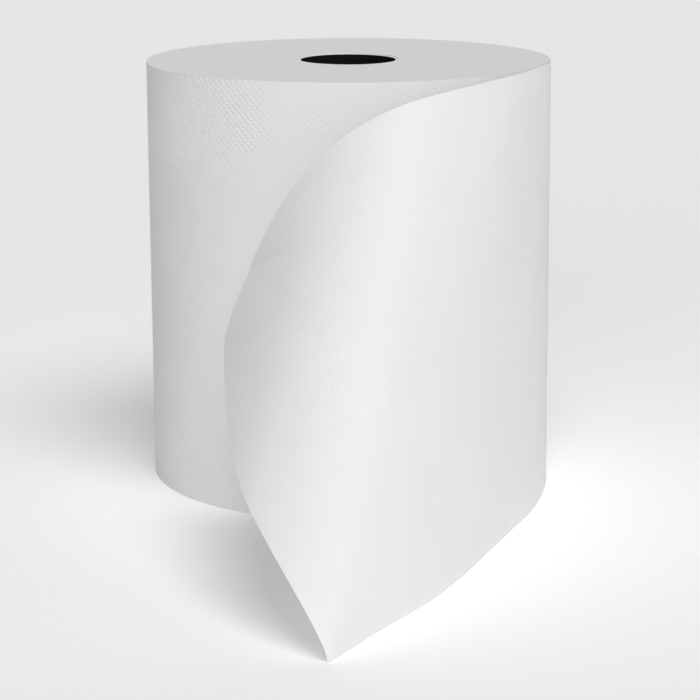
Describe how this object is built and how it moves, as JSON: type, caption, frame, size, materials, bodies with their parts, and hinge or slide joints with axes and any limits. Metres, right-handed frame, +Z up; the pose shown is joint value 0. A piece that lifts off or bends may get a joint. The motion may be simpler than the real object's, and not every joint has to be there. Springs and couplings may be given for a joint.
{
  "type": "paper towel roll",
  "caption": "Wide roll of embossed white towel paper on a paperboard core, standing on its end, with its loose end pulled off and curling on the surface in front.",
  "frame": {"origin": "middle of the core's bore at the end that the roll stands on", "axes": "+Z up along the bore, -Y towards the side that the loose end comes to, +X towards the side where it leaves the roll"},
  "size_m": [0.1951, 0.3746, 0.2033],
  "materials": {
    "towel_paper": "soft white embossed towel paper",
    "core_board": "plain black paperboard"
  },
  "bodies": {
    "root": {"towel_paper": "towel_paper", "core": "core_board"}
  },
  "joints": []
}
